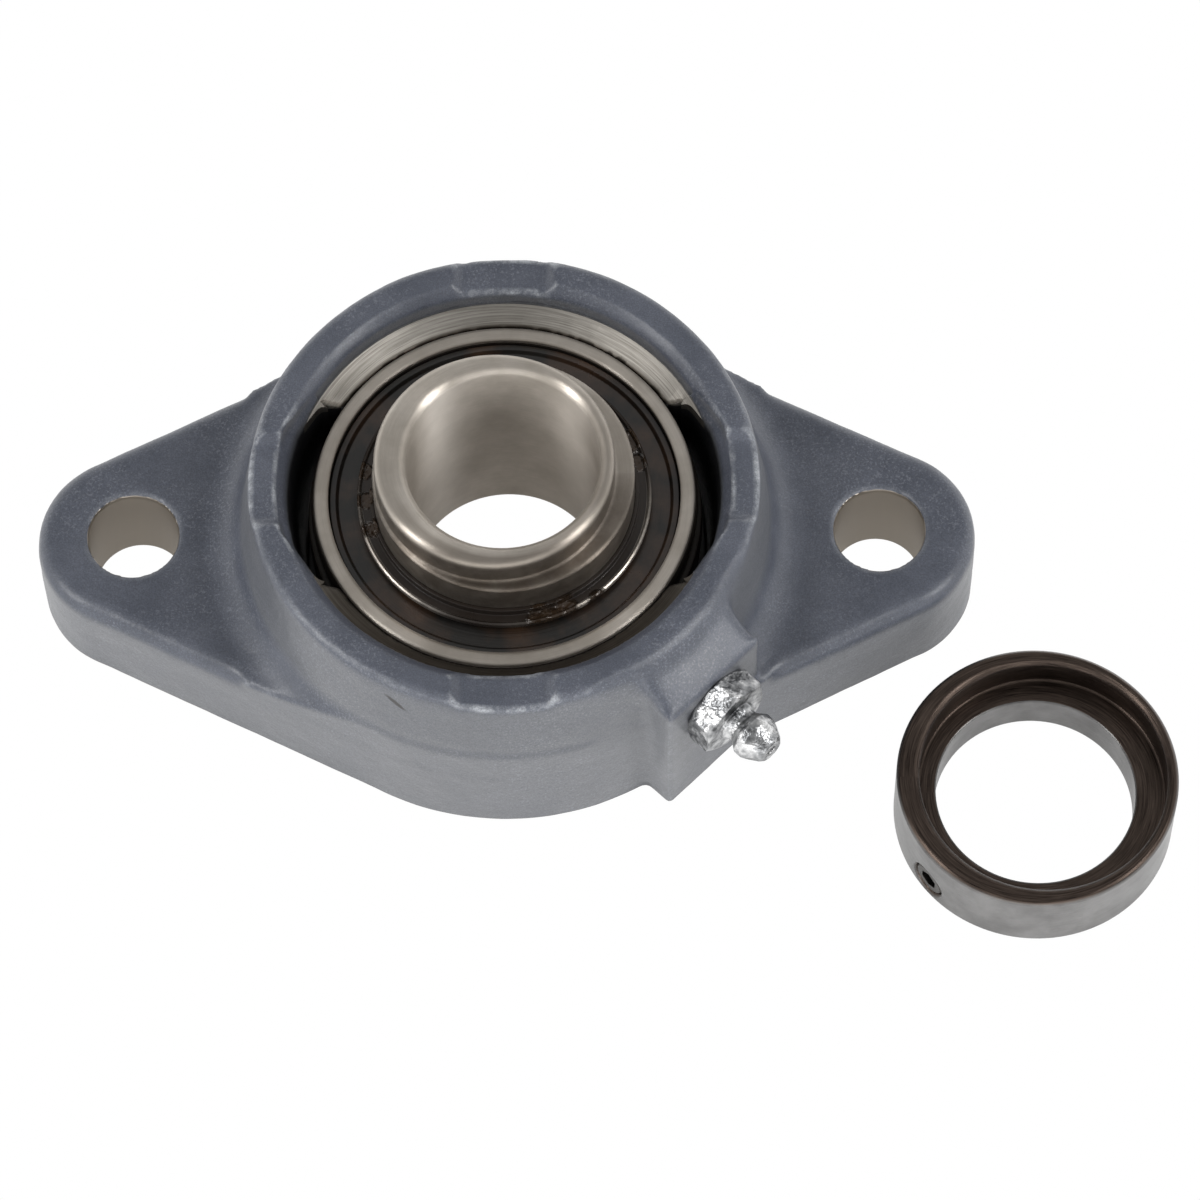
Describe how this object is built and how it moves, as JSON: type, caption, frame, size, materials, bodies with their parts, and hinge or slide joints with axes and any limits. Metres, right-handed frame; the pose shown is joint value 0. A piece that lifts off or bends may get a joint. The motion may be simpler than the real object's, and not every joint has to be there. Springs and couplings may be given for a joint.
{
  "type": "two-bolt flange bearing",
  "caption": "Oval cast flange housing with a self-aligning ball bearing insert, a grease nipple and a loose eccentric locking collar.",
  "frame": {"origin": "centre of the mounting face, where the shaft's axis meets it", "axes": "+Z along the shaft towards the collar side, +X along the line of the two bolts, nipple towards +X and -Y"},
  "size_m": [0.15, 0.0884, 0.0353],
  "materials": {
    "paint": "blue-grey satin paint on a cast surface",
    "ring_steel": "ground bearing steel",
    "bearing_steel": "polished bearing steel",
    "seal_rubber": "moulded rubber, oily",
    "sheet_steel": "pressed sheet steel",
    "zinc": "bright zinc plating",
    "collar_steel": "turned steel, blackened inside",
    "black_steel": "black oxide"
  },
  "bodies": {
    "housing": {"housing": "paint", "grease_nipple": "zinc", "nipple_spring": "bearing_steel", "locking_collar": "collar_steel"},
    "insert": {"outer_ring": "ring_steel", "front_seal": "seal_rubber", "back_seal": "seal_rubber"},
    "inner_race": {"inner_ring": "ring_steel", "front_flinger": "sheet_steel", "back_flinger": "sheet_steel"},
    "cage": {"front_cage_half": "sheet_steel", "back_cage_half": "sheet_steel", "cage_rivets": "sheet_steel"},
    "ball_1": {"ball_1": "bearing_steel"},
    "ball_2": {"ball_2": "bearing_steel"},
    "ball_3": {"ball_3": "bearing_steel"},
    "ball_4": {"ball_4": "bearing_steel"},
    "ball_5": {"ball_5": "bearing_steel"},
    "ball_6": {"ball_6": "bearing_steel"},
    "ball_7": {"ball_7": "bearing_steel"},
    "ball_8": {"ball_8": "bearing_steel"},
    "ball_9": {"ball_9": "bearing_steel"},
    "check_ball": {"nipple_check_ball": "bearing_steel"},
    "screw": {"set_screw": "black_steel"}
  },
  "joints": [
    {"name": "alignment", "type": "hinge", "parent": "housing", "child": "insert", "pos_m": [0, 0, 0.0178], "axis": [1, 0, 0], "range_deg": [-2, 2]},
    {"name": "shaft_spin", "type": "hinge", "parent": "insert", "child": "inner_race", "pos_m": [0, 0, 0.0178], "axis": [0, 0, 1], "continuous": true},
    {"name": "cage_spin", "type": "hinge", "parent": "insert", "child": "cage", "pos_m": [0, 0, 0.0178], "axis": [0, 0, 1], "continuous": true},
    {"name": "ball_1_roll", "type": "hinge", "parent": "cage", "child": "ball_1", "pos_m": [0.0195, 0, 0.0178], "axis": [0, 0, 1], "continuous": true},
    {"name": "ball_2_roll", "type": "hinge", "parent": "cage", "child": "ball_2", "pos_m": [0.01494, 0.01253, 0.0178], "axis": [0, 0, 1], "continuous": true},
    {"name": "ball_3_roll", "type": "hinge", "parent": "cage", "child": "ball_3", "pos_m": [0.00339, 0.0192, 0.0178], "axis": [0, 0, 1], "continuous": true},
    {"name": "ball_4_roll", "type": "hinge", "parent": "cage", "child": "ball_4", "pos_m": [-0.00975, 0.01689, 0.0178], "axis": [0, 0, 1], "continuous": true},
    {"name": "ball_5_roll", "type": "hinge", "parent": "cage", "child": "ball_5", "pos_m": [-0.01832, 0.00667, 0.0178], "axis": [0, 0, 1], "continuous": true},
    {"name": "ball_6_roll", "type": "hinge", "parent": "cage", "child": "ball_6", "pos_m": [-0.01832, -0.00667, 0.0178], "axis": [0, 0, 1], "continuous": true},
    {"name": "ball_7_roll", "type": "hinge", "parent": "cage", "child": "ball_7", "pos_m": [-0.00975, -0.01689, 0.0178], "axis": [0, 0, 1], "continuous": true},
    {"name": "ball_8_roll", "type": "hinge", "parent": "cage", "child": "ball_8", "pos_m": [0.00339, -0.0192, 0.0178], "axis": [0, 0, 1], "continuous": true},
    {"name": "ball_9_roll", "type": "hinge", "parent": "cage", "child": "ball_9", "pos_m": [0.01494, -0.01253, 0.0178], "axis": [0, 0, 1], "continuous": true},
    {"name": "check_ball_lift", "type": "slide", "parent": "housing", "child": "check_ball", "axis": [-0.7071, 0.7071, 0], "range_m": [0, 0.0008], "stiffness_N_per_m": 400, "springref_m": -0.0008, "deforming": ["nipple_spring"]},
    {"name": "set_screw_travel", "type": "slide", "parent": "housing", "child": "screw", "axis": [-0.788, -0.6157, 0], "range_m": [-0.0007, 0.003]}
  ],
  "couplings": [
    {"joint": "cage_spin", "follows": "shaft_spin", "ratio": 0.39823},
    {"joint": "ball_1_roll", "follows": "shaft_spin", "ratio": -2.3548},
    {"joint": "ball_2_roll", "follows": "shaft_spin", "ratio": -2.3548},
    {"joint": "ball_3_roll", "follows": "shaft_spin", "ratio": -2.3548},
    {"joint": "ball_4_roll", "follows": "shaft_spin", "ratio": -2.3548},
    {"joint": "ball_5_roll", "follows": "shaft_spin", "ratio": -2.3548},
    {"joint": "ball_6_roll", "follows": "shaft_spin", "ratio": -2.3548},
    {"joint": "ball_7_roll", "follows": "shaft_spin", "ratio": -2.3548},
    {"joint": "ball_8_roll", "follows": "shaft_spin", "ratio": -2.3548},
    {"joint": "ball_9_roll", "follows": "shaft_spin", "ratio": -2.3548}
  ]
}
